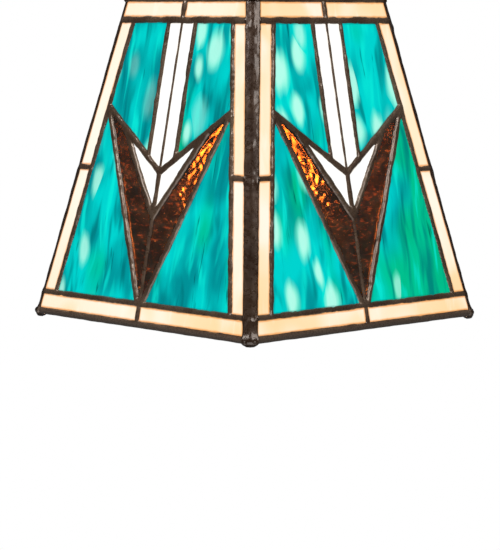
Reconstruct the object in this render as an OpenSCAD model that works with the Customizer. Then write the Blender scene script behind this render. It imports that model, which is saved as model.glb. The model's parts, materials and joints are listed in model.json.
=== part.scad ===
// Four-sided leaded glass pendant shade on a capped hanging nipple, with its lamp socket and bulb.
// Origin: the free end of the hanging nipple, on the shade's axis, with +Z up.
// Sides are numbered 0 front (-Y), 1 right (+X), 2 back (+Y) and 3 left (-X).

/* [Shade] */
// Half width of an outer glass face at the bottom edge, run out to a sharp corner
face_half_w = 103.84; // [98:0.02:112]
// Height from the bottom edge to the seat of the cap
shade_h = 207; // [200:1:215]
// Lean of each side from the vertical, in degrees
lean = 11.63; // [10:0.01:13]
// Thickness of the sheet glass
glass_t = 3; // [2:0.1:4]

/* [Pattern, measured up the slope of a side] */
// Depth of the solder corner, from the sharp corner to a side's own solder
corner_gap = 5; // [4.8:0.1:7]
// Height of the seam over the bottom border
bottom_seam = 15.1; // [13:0.1:18]
// Height of the seam under the top border
top_seam = 197; // [190:0.1:199]
// Width of the side border, from the sharp corner to its inner seam
side_border = 17.7; // [15:0.1:20]
// Height of the break in the side border
side_break = 99.2; // [80:0.1:120]
// Distance of the white bars' outer seams from the middle
bar_half_w = 12.7; // [10:0.1:16]
// Height of the V seam at the middle
vee_base = 99.3; // [95:0.1:105]
// Rise of the V seam for each unit outwards
vee_rise = 0.7045; // [0.6:0.001:0.75]
// Height of the arrow seam at the middle
arrow_base = 71.1; // [65:0.1:76]
// Rise of the arrow seam for each unit outwards
arrow_rise = 1.419; // [1.3:0.001:1.6]
// Half width of the amber wings at the bottom seam
amber_foot = 2; // [1.8:0.1:4]

/* [Solder] */
// Height of the solder over the glass on each face
bead_h = 1.1; // [0.6:0.1:1.5]
// Gap between neighbouring pieces of glass
foil_gap = 1; // [0.6:0.1:1.2]
// Radius of the half-round bottom rim
rim_r = 3.1; // [2.8:0.1:3.6]
// Bulge of the corner solder beyond its chamfer
corner_bulge = 0.3; // [0.2:0.1:1.2]

/* [Cap and nipple] */
// Half width of the square cap
cap_half_w = 63; // [62.6:0.1:66]
// Height of the cap over its seat
cap_h = 18; // [16:0.5:22]
// Thickness of the cap's sheet metal
cap_t = 1.2; // [0.8:0.1:1.5]
// Radius over the nipple's thread
nipple_r = 5.15; // [5.1:0.01:5.2]
// Radius of the wire way through the nipple
wire_way_r = 3.4; // [3:0.1:3.6]
// Free length of the nipple over its lock nut
free_end = 12; // [10:0.5:16]
// Length of the nipple that shows between its inner nut and the socket
socket_drop = 14; // [2:1:16]

/* [Socket and bulb] */
// Largest radius of the bulb's glass
bulb_r = 30; // [28:0.5:32]
// Length of the bulb from its foot contact to its lowest point
bulb_len = 110; // [106:1:114]
// Radius over the bulb's screw thread
base_r = 13.2; // [13:0.05:13.25]
// Radius inside the socket's screw shell
screw_shell_r = 13.35; // [13.3:0.01:13.4]
// Pitch of the screw thread
pitch = 3.63; // [3.6:0.01:3.65]
// Radius over the socket's outer shell
shell_r = 16.8; // [16.6:0.1:17.5]

/* [Hidden] */
$fn = 96;
eps = 0.01;

FRONT = 0;
RIGHT = 1;
BACK = 2;
LEFT = 3;

// Stack on the axis, from the origin down
nut_h = 4.5;
washer_t = 2;
thread_relief = 1;
seat_z = -(free_end + thread_relief + nut_h + washer_t + cap_h);
rim_z = seat_z - shade_h;
inner_washer_z = seat_z + cap_h - cap_t - washer_t;
inner_nut_z = inner_washer_z - nut_h;
hub_top_z = inner_nut_z - socket_drop;
hub_h = 10;
nipple_bottom_z = hub_top_z - hub_h;

// Side pattern: seam widths, and the slope distances that bound the solder
thin_seam = 1.8;
centre_seam = 2.6;
seam = 3.4;
wide_seam = 4.1;
edge_seam = 2.6;
rim_top = rim_r;
top_bar = 1.4;
lattice_top = shade_h / cos(lean) - top_bar;

// Half width of a side at slope distance s: sharp corner, solder edge and inner border seam
function face_edge(s) = face_half_w - s * sin(lean);
function solder_edge(s) = face_edge(s) - corner_gap;
function border_seam(s) = face_edge(s) - side_border;
function vee(u) = vee_base + vee_rise * u;
function arrow(u) = arrow_base + arrow_rise * u;

// Where the V seam meets the inner border seam, and where the arrow seam meets the V seam
wing_tip_u = (face_half_w - side_border - vee_base * sin(lean)) / (1 + vee_rise * sin(lean));
arrow_tip_u = (vee_base - arrow_base) / (arrow_rise - vee_rise);
wing_tip = [wing_tip_u, vee(wing_tip_u)];
arrow_tip = [arrow_tip_u, vee(arrow_tip_u)];

// Each pane is a convex outline, anticlockwise on the seams' centre lines, as
// [u, s, width of the seam from this point to the next]. The other half is its mirror image.
function pane_point(p, width) = [p[0], p[1], width];
bottom_strip = [
    [0, rim_top, edge_seam], [solder_edge(rim_top), rim_top, edge_seam],
    [solder_edge(bottom_seam), bottom_seam, seam], [0, bottom_seam, seam]];
top_strip = [
    [0, top_seam, wide_seam], [solder_edge(top_seam), top_seam, edge_seam],
    [solder_edge(lattice_top), lattice_top, edge_seam], [0, lattice_top, wide_seam]];
lower_side_strip = [
    [border_seam(bottom_seam), bottom_seam, seam],
    [solder_edge(bottom_seam), bottom_seam, edge_seam],
    [solder_edge(side_break), side_break, seam], [border_seam(side_break), side_break, seam]];
upper_side_strip = [
    [border_seam(side_break), side_break, seam],
    [solder_edge(side_break), side_break, edge_seam],
    [solder_edge(top_seam), top_seam, wide_seam], [border_seam(top_seam), top_seam, seam]];
upper_teal_pane = [
    [bar_half_w, vee(bar_half_w), wide_seam], pane_point(wing_tip, seam),
    [border_seam(top_seam), top_seam, wide_seam], [bar_half_w, top_seam, seam]];
white_bar_pane = [
    [0, vee_base, wide_seam], [bar_half_w, vee(bar_half_w), seam],
    [bar_half_w, top_seam, wide_seam], [0, top_seam, thin_seam]];
arrow_pane = [
    [0, arrow_base, wide_seam], pane_point(arrow_tip, wide_seam), [0, vee_base, seam]];
amber_pane = [
    [0, bottom_seam, seam], [amber_foot, bottom_seam, wide_seam],
    pane_point(wing_tip, wide_seam), pane_point(arrow_tip, wide_seam),
    [0, arrow_base, centre_seam]];
lower_teal_pane = [
    [amber_foot, bottom_seam, seam], [border_seam(bottom_seam), bottom_seam, seam],
    pane_point(wing_tip, wide_seam)];
PANES = [
    bottom_strip, top_strip, lower_side_strip, upper_side_strip, upper_teal_pane,
    white_bar_pane, arrow_pane, amber_pane, lower_teal_pane];

// Inward normal and distance of the line through edge i of a pane, moved inwards by d
function edge_normal(p, q) = let (v = [q[0] - p[0], q[1] - p[1]]) [-v[1], v[0]] / norm(v);
function edge_line(pane, i, d) =
    let (p = pane[i], q = pane[(i + 1) % len(pane)], n = edge_normal(p, q))
    [n[0], n[1], n[0] * p[0] + n[1] * p[1] + d];
// Height of a point over a line, and the part of a convex outline on the line's inner side
function over(p, l) = l[0] * p[0] + l[1] * p[1] - l[2];
function cut(points, l) =
    [for (i = [0 : len(points) - 1])
        let (p = points[i], q = points[(i + 1) % len(points)], a = over(p, l), b = over(q, l))
        each [if (a >= 0) p, if (a * b < 0) p + (q - p) * a / (a - b)]];
function cut_all(points, lines, i = 0) =
    i == len(lines) ? points : cut_all(cut(points, lines[i]), lines, i + 1);
function corners(pane) = [for (p = pane) [p[0], p[1]]];
// Glass outline: every edge half a foil gap in from its centre line
function glass_outline(pane) =
    cut_all(corners(pane), [for (i = [0 : len(pane) - 1]) edge_line(pane, i, foil_gap / 2)]);
// Window outline: every edge half its seam's width in from its centre line
function window_outline(pane) =
    cut_all(corners(pane), [for (i = [0 : len(pane) - 1]) edge_line(pane, i, pane[i][2] / 2)]);

// Corner solder: its section lies square to the corner line, with X outwards
corner_lean = atan(sqrt(2) * tan(lean));
corner_half_angle = acos(pow(sin(lean), 2)) / 2;
corner_depth = corner_gap * cos(atan(sin(lean)));
// Point of the section at height n over the outer face, where a side's own solder ends
function corner_point(n) = [
    n * cos(corner_half_angle) - corner_depth * sin(corner_half_angle),
    n * sin(corner_half_angle) + corner_depth * cos(corner_half_angle)];
corner_out = corner_point(bead_h);
corner_in = corner_point(-glass_t - bead_h);
// The bulge is an arc through the two outer points, in a few flat facets
bulge_r = (pow(corner_out[1], 2) + pow(corner_bulge, 2)) / (2 * corner_bulge);
bulge_turn = asin(corner_out[1] / bulge_r);
bulge_steps = 6;
corner_foot = 1;

// Cap: outer slope and the hollow under it
cap_flat = 15;
cap_edge_h = 1.5;
cap_hollow_half_w = 58;
cap_slope = (cap_h - cap_edge_h) / (cap_half_w - cap_flat);
cap_drop = cap_t * sqrt(1 + pow(cap_slope, 2));
vent_r = 2.5;
vent_reach = 38;
vent_step = 16;

// Lock nuts and washers on the nipple, and the clearance of its holes
nut_across_flats = 15;
washer_r = 13;
hole_clearance = 0.15;
thread_core = 0.5;

// Socket: heights from the seat, radii from the axis
shell_t = 0.8;
liner_t = 0.8;
shell_top_z = nipple_bottom_z - 9;
shell_len = 44;
shell_bottom_z = shell_top_z - shell_len;
skirt_h = 4;
hub_r = 8;
body_top_z = shell_top_z - 6;
body_disc_h = 4;
body_h = 14;
body_r = 12;
body_bottom_z = body_top_z - body_h;
screw_shell_t = 0.5;
screw_shell_top_z = body_bottom_z;
contact_h = 2;
foot_z = body_bottom_z - contact_h;
terminal_z = body_top_z - body_disc_h - 5;
terminal_reach = body_r - 4;
set_screw_r = 1.6;
set_screw_z = hub_top_z - 4;
set_screw_head_h = 1.6;

// Bulb: heights from its foot contact
insulator_h = 2.5;
foot_h = 1.6;
foot_r = 4.6;
base_shell_h = 22;
base_top_z = foot_z - foot_h - insulator_h;
base_bottom_z = base_top_z - base_shell_h;
base_wall_r = 12.6;
base_wall_t = 0.6;
thread_ridge_r = 0.9;
thread_turns = 5;
neck_r = 11.6;
glass_wall = 0.8;
globe_z = foot_z - bulb_len + bulb_r;
shoulder_r = 13.6;
shoulder_z = base_bottom_z - 1;
stem_r = 3;
stem_len = 38;
stem_flare_h = 8;
stem_top_z = base_bottom_z + 2;
stem_foot_z = stem_top_z - stem_len;
filament_drop = 14;
filament_reach = 12;
support_rise = 6;
wire_r = 0.5;

module on_side(i)
    rotate([0, 0, 90 * i]) translate([0, -face_half_w, rim_z]) rotate([90 - lean, 0, 0])
        children();

module both_halves() {
    children();
    mirror([1, 0, 0]) children();
}

// The glass of the listed panes and of their mirror images, on side i
module glass(i, panes, colour)
    color(colour) on_side(i) translate([0, 0, -glass_t])
        for (pane = panes) both_halves()
            linear_extrude(glass_t) polygon(glass_outline(pane));

module border_strips(i) glass(i, [bottom_strip, top_strip], [0.98, 0.91, 0.76]);
module side_strips(i) glass(i, [lower_side_strip, upper_side_strip], [0.98, 0.89, 0.72]);
module upper_teal(i) glass(i, [upper_teal_pane], [0.05, 0.70, 0.68]);
module lower_teal(i) glass(i, [lower_teal_pane], [0.02, 0.62, 0.62]);
module white_bars(i) glass(i, [white_bar_pane], [0.97, 0.98, 0.95]);
module white_arrow(i) glass(i, [arrow_pane], [0.97, 0.97, 0.95]);
module amber_wings(i) glass(i, [amber_pane], [0.45, 0.20, 0.06]);

// Solder between the panes, and over their edges on both faces
module lattice(s0, s1, t)
    linear_extrude(t) polygon([
        [-solder_edge(s0), s0], [solder_edge(s0), s0], [solder_edge(s1), s1],
        [-solder_edge(s1), s1]]);

module face_beads(z)
    translate([0, 0, z]) difference() {
        lattice(rim_top, lattice_top, bead_h);
        for (pane = PANES) both_halves()
            translate([0, 0, -1]) linear_extrude(bead_h + 2) polygon(window_outline(pane));
    }

module solder_seams(i)
    color([0.24, 0.19, 0.16]) on_side(i) {
        face_beads(0);
        face_beads(-glass_t - bead_h);
        translate([0, 0, -glass_t]) difference() {
            lattice(rim_top, lattice_top, glass_t);
            for (pane = PANES) both_halves()
                translate([0, 0, -1]) linear_extrude(glass_t + 2) polygon(glass_outline(pane));
        }
    }

// Everything between two heights
module level(z0, z1) {
    reach = 2 * face_half_w;
    translate([-reach, -reach, z0]) cube([2 * reach, 2 * reach, z1 - z0]);
}

module corner_section()
    polygon([
        [corner_in[0], -corner_in[1]], [corner_out[0], -corner_out[1]],
        for (k = [1 : bulge_steps - 1]) let (a = bulge_turn * (2 * k / bulge_steps - 1))
            [corner_out[0] + corner_bulge + bulge_r * (cos(a) - 1), bulge_r * sin(a)],
        corner_out, corner_in]);

// Corner i stands between side i and the next side round
module corner_bead(i) {
    run = 1.2 * shade_h;
    color([0.24, 0.19, 0.16]) intersection() {
        level(rim_z - corner_foot, seat_z);
        rotate([0, 0, 90 * i - 45]) translate([sqrt(2) * face_half_w, 0, rim_z])
            rotate([0, -corner_lean, 0]) translate([0, 0, -shade_h / 10])
                linear_extrude(run) corner_section();
    }
}

module bottom_rim()
    color([0.29, 0.26, 0.24]) for (i = [FRONT : LEFT]) on_side(i) intersection() {
        translate([0, rim_r, -glass_t / 2]) rotate([0, 90, 0])
            cylinder(r = rim_r, h = 2.2 * face_half_w, center = true);
        translate([0, 0, -glass_t / 2 - rim_r]) lattice(0, rim_top, 2 * rim_r);
    }

module top_rim()
    color([0.24, 0.19, 0.16]) intersection() {
        level(rim_z, seat_z);
        for (i = [FRONT : LEFT]) on_side(i) translate([0, 0, -glass_t - bead_h])
            lattice(lattice_top, lattice_top + 5 * top_bar, glass_t + 2 * bead_h);
    }

// A square solid whose outline is the same seen from two neighbouring sides
module square_solid(outline)
    intersection() {
        rotate([90, 0, 0]) linear_extrude(4 * cap_half_w, center = true) polygon(outline);
        rotate([90, 0, 90]) linear_extrude(4 * cap_half_w, center = true) polygon(outline);
    }

module cap() {
    inner_top = cap_h - cap_t;
    inner_side = cap_h - cap_drop - (cap_hollow_half_w - cap_flat) * cap_slope;
    inner_flat = cap_flat + (cap_t - cap_drop) / cap_slope;
    color([0.30, 0.22, 0.15]) translate([0, 0, seat_z]) difference() {
        square_solid([
            [-cap_half_w, 0], [cap_half_w, 0], [cap_half_w, cap_edge_h], [cap_flat, cap_h],
            [-cap_flat, cap_h], [-cap_half_w, cap_edge_h]]);
        square_solid([
            [-cap_hollow_half_w, -1], [cap_hollow_half_w, -1], [cap_hollow_half_w, inner_side],
            [inner_flat, inner_top], [-inner_flat, inner_top],
            [-cap_hollow_half_w, inner_side]]);
        translate([0, 0, -1]) cylinder(r = nipple_r + hole_clearance, h = cap_h + 2);
        for (side = [FRONT : LEFT], step = [-1 : 1])
            rotate([0, 0, 90 * side]) translate([step * vent_step, -vent_reach, -1])
                cylinder(r = vent_r, h = cap_h + 2, $fn = 32);
    }
}

module hanging_nipple()
    color([0.42, 0.33, 0.22]) difference() {
        union() {
            translate([0, 0, -free_end]) cylinder(r = nipple_r, h = free_end);
            translate([0, 0, -free_end - thread_relief])
                cylinder(r = nipple_r - thread_core, h = thread_relief);
            translate([0, 0, nipple_bottom_z])
                cylinder(r = nipple_r, h = -free_end - thread_relief - nipple_bottom_z);
        }
        translate([0, 0, nipple_bottom_z - 1])
            cylinder(r = wire_way_r, h = 2 - nipple_bottom_z);
    }

module washer(z)
    color([0.40, 0.29, 0.17]) translate([0, 0, z]) difference() {
        cylinder(r = washer_r, h = washer_t);
        translate([0, 0, -1]) cylinder(r = nipple_r + hole_clearance, h = washer_t + 2);
    }

module lock_nut(z)
    color([0.34, 0.25, 0.16]) translate([0, 0, z]) difference() {
        cylinder(r = nut_across_flats / sqrt(3), h = nut_h, $fn = 6);
        translate([0, 0, -1]) cylinder(r = nipple_r, h = nut_h + 2);
    }

module top_washer() washer(seat_z + cap_h);
module top_lock_nut() lock_nut(seat_z + cap_h + washer_t);
module inner_washer() washer(inner_washer_z);
module inner_lock_nut() lock_nut(inner_nut_z);

// A tube about the axis between two heights
module tube(r_out, r_in, z0, z1)
    translate([0, 0, z0]) difference() {
        cylinder(r = r_out, h = z1 - z0);
        translate([0, 0, -1]) cylinder(r = r_in, h = z1 - z0 + 2);
    }

module socket_cap()
    color([0.62, 0.48, 0.24]) difference() {
        union() {
            tube(hub_r, nipple_r, nipple_bottom_z, hub_top_z);
            rotate_extrude() polygon([
                [nipple_r, nipple_bottom_z], [hub_r, nipple_bottom_z],
                [shell_r + shell_t, shell_top_z + 3], [shell_r + shell_t, shell_top_z - skirt_h],
                [shell_r, shell_top_z - skirt_h], [shell_r, shell_top_z],
                [shell_r - shell_t, shell_top_z + 2], [nipple_r, nipple_bottom_z - shell_t]]);
        }
        translate([0, 0, set_screw_z]) rotate([0, 90, 0])
            cylinder(r = set_screw_r, h = 2 * hub_r, $fn = 32);
        translate([0, 0, shell_top_z - skirt_h - 1])
            cylinder(r = wire_way_r + 1, h = hub_h + shell_len);
    }

module socket_set_screw()
    color([0.75, 0.73, 0.70]) translate([nipple_r, 0, set_screw_z]) rotate([0, 90, 0]) {
        cylinder(r = set_screw_r, h = hub_r - nipple_r, $fn = 32);
        translate([0, 0, hub_r - nipple_r])
            cylinder(r = set_screw_r + 1, h = set_screw_head_h, $fn = 32);
    }

module socket_shell()
    color([0.66, 0.52, 0.26])
        tube(shell_r, shell_r - shell_t, shell_bottom_z, shell_top_z);

module socket_liner()
    color([0.62, 0.55, 0.45])
        tube(shell_r - shell_t, shell_r - shell_t - liner_t, shell_bottom_z + 1, shell_top_z - 1);

module socket_body()
    color([0.16, 0.12, 0.10]) difference() {
        union() {
            translate([0, 0, body_top_z - body_disc_h])
                cylinder(r = shell_r - shell_t - liner_t, h = body_disc_h);
            translate([0, 0, body_bottom_z]) cylinder(r = body_r, h = body_h - body_disc_h);
        }
        for (side = [-1, 1])
            translate([side * terminal_reach, 0, terminal_z]) rotate([0, side * 90, 0])
                cylinder(r = set_screw_r, h = body_r, $fn = 32);
    }

module terminal_screws()
    color([0.78, 0.68, 0.42]) for (side = [-1, 1])
        translate([side * terminal_reach, 0, terminal_z]) rotate([0, side * 90, 0]) {
            cylinder(r = set_screw_r, h = 4, $fn = 32);
            translate([0, 0, 4.1]) cylinder(r = set_screw_r + 1.4, h = 2, $fn = 32);
            cylinder(r = set_screw_r - 0.4, h = 5, $fn = 32);
        }

module socket_screw_shell()
    color([0.80, 0.64, 0.32]) {
        top = screw_shell_top_z;
        outer = screw_shell_r + screw_shell_t;
        tube(outer, screw_shell_r, shell_bottom_z + 1, top);
        tube(outer, body_r - 3, top - screw_shell_t, top);
        for (turn = [1 : thread_turns])
            translate([0, 0, top - turn * pitch]) rotate_extrude()
                translate([outer - eps, -0.5]) square([0.5, 1]);
    }

module socket_contact()
    color([0.80, 0.62, 0.30]) {
        translate([0, 0, foot_z]) cylinder(r = 3.5, h = 0.6);
        translate([0, 0, foot_z]) cylinder(r = 1.5, h = contact_h);
    }

// Bulb envelope grown or shrunk by d: a globe, a straight shoulder and a neck
module envelope(d) {
    r = bulb_r + d;
    shoulder = [shoulder_r + d, shoulder_z];
    rise = [shoulder[0], shoulder_z - globe_z];
    tangent = atan2(rise[1], rise[0]) - acos(r / norm(rise));
    intersection() {
        union() {
            translate([0, globe_z]) circle(r = r);
            polygon([
                [0, globe_z], [r * cos(tangent), globe_z + r * sin(tangent)], shoulder,
                [neck_r + d, shoulder_z + 1], [neck_r + d, base_bottom_z + 4],
                [0, base_bottom_z + 4]]);
        }
        translate([0, globe_z - 2 * bulb_r]) square([2 * bulb_r, 3 * bulb_len]);
    }
}

module bulb_glass()
    color([0.97, 0.95, 0.90]) rotate_extrude() difference() {
        envelope(0);
        envelope(-glass_wall);
        translate([0, base_bottom_z + 3]) square([neck_r - glass_wall, 2]);
    }

module bulb_screw_base()
    color([0.78, 0.77, 0.74]) rotate_extrude() difference() {
        union() {
            translate([base_wall_r - base_wall_t, base_bottom_z])
                square([base_wall_t, base_shell_h]);
            translate([8, base_top_z - base_wall_t]) square([base_wall_r - 8, base_wall_t]);
            for (turn = [1 : thread_turns])
                translate([base_r - thread_ridge_r, base_top_z - turn * pitch])
                    circle(r = thread_ridge_r, $fn = 24);
        }
        translate([0, base_bottom_z]) square([base_wall_r - base_wall_t, base_shell_h / 2]);
    }

module bulb_insulator()
    color([0.08, 0.08, 0.10]) translate([0, 0, base_top_z])
        cylinder(r1 = base_wall_r - 1, r2 = foot_r, h = insulator_h);

module bulb_foot_contact()
    color([0.72, 0.71, 0.68]) translate([0, 0, foot_z - foot_h])
        cylinder(r1 = foot_r, r2 = foot_r - 1.4, h = foot_h);

module bulb_stem()
    color([0.85, 0.88, 0.88]) {
        translate([0, 0, stem_foot_z]) cylinder(r = stem_r, h = stem_len, $fn = 32);
        translate([0, 0, stem_top_z - stem_flare_h])
            cylinder(r1 = stem_r, r2 = neck_r - 2, h = stem_flare_h);
    }

module bulb_filament()
    color([0.45, 0.44, 0.42]) {
        for (side = [-1, 1])
            translate([side * filament_reach, 0, stem_foot_z - filament_drop])
                cylinder(r = wire_r, h = filament_drop + support_rise, $fn = 16);
        translate([-filament_reach, 0, stem_foot_z - filament_drop]) rotate([0, 90, 0])
            cylinder(r = 2 * wire_r, h = 2 * filament_reach, $fn = 16);
        for (side = [-1, 1])
            translate([side * stem_r, 0, stem_foot_z + support_rise - wire_r])
                rotate([0, side * 90, 0])
                    cylinder(r = wire_r, h = filament_reach - stem_r, $fn = 16);
    }

border_strips(FRONT);  // border_strips_front
side_strips(FRONT);  // side_strips_front
upper_teal(FRONT);  // upper_teal_front
lower_teal(FRONT);  // lower_teal_front
white_bars(FRONT);  // white_bars_front
white_arrow(FRONT);  // white_arrow_front
amber_wings(FRONT);  // amber_wings_front
solder_seams(FRONT);  // solder_seams_front
border_strips(RIGHT);  // border_strips_right
side_strips(RIGHT);  // side_strips_right
upper_teal(RIGHT);  // upper_teal_right
lower_teal(RIGHT);  // lower_teal_right
white_bars(RIGHT);  // white_bars_right
white_arrow(RIGHT);  // white_arrow_right
amber_wings(RIGHT);  // amber_wings_right
solder_seams(RIGHT);  // solder_seams_right
border_strips(BACK);  // border_strips_back
side_strips(BACK);  // side_strips_back
upper_teal(BACK);  // upper_teal_back
lower_teal(BACK);  // lower_teal_back
white_bars(BACK);  // white_bars_back
white_arrow(BACK);  // white_arrow_back
amber_wings(BACK);  // amber_wings_back
solder_seams(BACK);  // solder_seams_back
border_strips(LEFT);  // border_strips_left
side_strips(LEFT);  // side_strips_left
upper_teal(LEFT);  // upper_teal_left
lower_teal(LEFT);  // lower_teal_left
white_bars(LEFT);  // white_bars_left
white_arrow(LEFT);  // white_arrow_left
amber_wings(LEFT);  // amber_wings_left
solder_seams(LEFT);  // solder_seams_left
corner_bead(FRONT);  // corner_bead_front_right
corner_bead(RIGHT);  // corner_bead_back_right
corner_bead(BACK);  // corner_bead_back_left
corner_bead(LEFT);  // corner_bead_front_left
bottom_rim();
top_rim();
cap();
hanging_nipple();
top_washer();
top_lock_nut();
inner_washer();
inner_lock_nut();
socket_cap();
socket_set_screw();
socket_shell();
socket_liner();
socket_body();
socket_screw_shell();
socket_contact();
terminal_screws();
bulb_glass();
bulb_screw_base();
bulb_insulator();
bulb_foot_contact();
bulb_stem();
bulb_filament();
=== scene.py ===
import itertools
import json
import math

import bmesh
import bpy
import numpy as np
from mathutils import Matrix, Vector


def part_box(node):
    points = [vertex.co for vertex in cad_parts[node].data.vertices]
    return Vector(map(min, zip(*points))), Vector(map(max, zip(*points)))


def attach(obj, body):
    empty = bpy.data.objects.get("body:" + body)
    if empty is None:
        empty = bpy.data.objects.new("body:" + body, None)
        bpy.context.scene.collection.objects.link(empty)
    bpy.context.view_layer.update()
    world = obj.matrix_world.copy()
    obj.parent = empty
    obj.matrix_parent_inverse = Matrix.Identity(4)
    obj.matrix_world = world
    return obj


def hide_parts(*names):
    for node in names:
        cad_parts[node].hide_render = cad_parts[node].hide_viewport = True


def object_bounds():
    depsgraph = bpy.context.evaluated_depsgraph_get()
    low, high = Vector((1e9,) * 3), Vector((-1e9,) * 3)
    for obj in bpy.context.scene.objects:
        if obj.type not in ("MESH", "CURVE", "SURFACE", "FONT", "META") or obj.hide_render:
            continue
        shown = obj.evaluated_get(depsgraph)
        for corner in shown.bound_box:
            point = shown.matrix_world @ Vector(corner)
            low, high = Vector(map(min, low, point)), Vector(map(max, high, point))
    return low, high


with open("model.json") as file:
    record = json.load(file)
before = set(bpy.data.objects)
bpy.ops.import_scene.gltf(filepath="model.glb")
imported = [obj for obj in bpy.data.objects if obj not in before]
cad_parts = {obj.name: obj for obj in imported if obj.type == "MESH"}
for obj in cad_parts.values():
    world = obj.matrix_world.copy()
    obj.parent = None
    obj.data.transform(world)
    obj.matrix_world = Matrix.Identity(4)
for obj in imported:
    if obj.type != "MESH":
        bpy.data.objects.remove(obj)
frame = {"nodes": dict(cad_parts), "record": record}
cad_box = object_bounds()

# Leaded glass pendant shade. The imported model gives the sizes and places: each side's plane, the
# outlines of its panes and the windows between its seams are read from the CAD nodes, and the
# rippled glass, the rounded solder and the small hardware are built on them. Lengths inside the
# mesh code are in millimetres, and become metres when a mesh is made.

MM = 0.001
SHADE, BULB, FOOT = "shade_and_socket", "bulb", "bulb_foot"
SIDES = ("front", "right", "back", "left")
CORNERS = ("front_right", "back_right", "back_left", "front_left")
GLASS_SLOTS = {
    "border_strips": "cream_glass", "side_strips": "cream_glass", "upper_teal": "teal_glass",
    "lower_teal": "teal_glass", "white_bars": "white_glass", "white_arrow": "white_glass",
    "amber_wings": "amber_glass"}


# ---------------------------------------------------------------- numbers

def noise(points, seed):
    """Smooth noise from -1 to 1, one cell to a unit, the same on every run."""
    points = np.asarray(points, float)
    base = np.floor(points).astype(np.int64)
    part = points - base
    part = part * part * (3 - 2 * part)
    total = np.zeros(len(points))
    for corner in itertools.product((0, 1), repeat=points.shape[1]):
        mixed = np.full(len(points), 97 * seed + 13, np.int64)
        weight = np.ones(len(points))
        for k, step in enumerate(corner):
            mixed = (mixed * 1103515245 + (base[:, k] + step) * 668265263) & 0x7FFFFFFF
            mixed ^= mixed >> 11
            weight *= part[:, k] if step else 1 - part[:, k]
        mixed = (mixed * 69069 + 12345) & 0x7FFFFFFF
        total += weight * ((mixed >> 7) % 65536 / 32767.5 - 1)
    return total


def signed_distance(points, outline):
    """Distance from points to a convex outline, negative inside it."""
    nearest = np.full(len(points), np.inf)
    inside = np.ones(len(points), bool)
    for p, q in zip(outline, np.roll(outline, -1, axis=0)):
        along, off = q - p, points - p
        t = np.clip(off @ along / (along @ along), 0, 1)
        nearest = np.minimum(nearest, np.linalg.norm(off - t[:, None] * along, axis=1))
        inside &= along[0] * off[:, 1] - along[1] * off[:, 0] > 0
    return np.where(inside, -nearest, nearest)


def smooth(x, low, high):
    t = np.clip((x - low) / (high - low), 0, 1)
    return t * t * (3 - 2 * t)


# ---------------------------------------------------------------- meshes

def make_piece(name, verts_mm, faces, material, body, replaced, slot):
    """A mesh object that rides on a CAD body and stands for a CAD node."""
    mesh = bpy.data.meshes.new(name)
    mesh.from_pydata((np.asarray(verts_mm) * MM).tolist(), [], faces)
    return finish_piece(mesh, material, body, replaced)


def finish_piece(mesh, material, body, replaced):
    """The object for a mesh, smooth, with its material and on its body."""
    mesh.polygons.foreach_set("use_smooth", [True] * len(mesh.polygons))
    mesh.materials.append(material)
    piece = bpy.data.objects.new(mesh.name, mesh)
    bpy.context.scene.collection.objects.link(piece)
    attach(piece, body)
    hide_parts(replaced)
    return piece


def sharpen(piece, degrees):
    """Keeps edges sharper than an angle sharp under smooth shading."""
    piece.data.set_sharp_from_angle(angle=math.radians(degrees))


def grid_faces(cell):
    """The corners of a grid that the chosen cells use, and those cells as faces over them."""
    used = np.zeros((cell.shape[0] + 1, cell.shape[1] + 1), bool)
    for du, ds in itertools.product((0, 1), repeat=2):
        used[du:cell.shape[0] + du, ds:cell.shape[1] + ds] |= cell
    number = np.full(used.shape, -1)
    number[used] = np.arange(used.sum())
    i, j = np.nonzero(cell)
    faces = np.column_stack([number[i, j], number[i + 1, j], number[i + 1, j + 1],
                             number[i, j + 1]]).tolist()
    return used, faces


def touching(solid):
    """The cells of a grid with a solid corner."""
    return solid[:-1, :-1] | solid[1:, :-1] | solid[:-1, 1:] | solid[1:, 1:]


def slab(points, faces, front, back):
    """A closed sheet over a flat mesh: faces are anticlockwise, front and back are its heights."""
    n = len(points)
    verts = np.concatenate([np.column_stack([points, front]), np.column_stack([points, back])])
    edges = {}
    for face in faces:
        for a, b in zip(face, face[1:] + face[:1]):
            if edges.pop((b, a), None) is None:
                edges[(a, b)] = True
    walls = [[b, a, a + n, b + n] for a, b in edges]
    return verts, faces + [[v + n for v in reversed(face)] for face in faces] + walls


def loft(rings, closed=False):
    """Faces over equal rings of vertices, with a cap at each end unless the rings close."""
    count, size = len(rings), len(rings[0])
    verts = np.concatenate(rings)
    faces = []
    for i in range(count if closed else count - 1):
        a, b = i * size, (i + 1) % count * size
        for j in range(size):
            k = (j + 1) % size
            faces.append([a + j, a + k, b + k, b + j])
    if not closed:
        faces.append(list(reversed(range(size))))
        faces.append(list(range((count - 1) * size, count * size)))
    return verts, faces


def join(parts):
    """Several (vertices, faces) as one."""
    verts, faces, start = [], [], 0
    for v, f in parts:
        verts.append(np.asarray(v, float))
        faces += [[i + start for i in face] for face in f]
        start += len(v)
    return np.concatenate(verts), faces


def polar(levels, radius, segments=64, closed=False):
    """A round piece: rings at heights z and nominal radii r, given as (r, z, outside), where
    radius(r, z, angles, outside) gives the true radii."""
    angles = np.linspace(0, 2 * math.pi, segments, endpoint=False)
    rings = []
    for r, z, outside in levels:
        real = radius(r, z, angles, outside)
        rings.append(np.column_stack([real * np.cos(angles), real * np.sin(angles),
                                      np.full(segments, z)]))
    return loft(rings, closed)


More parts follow.
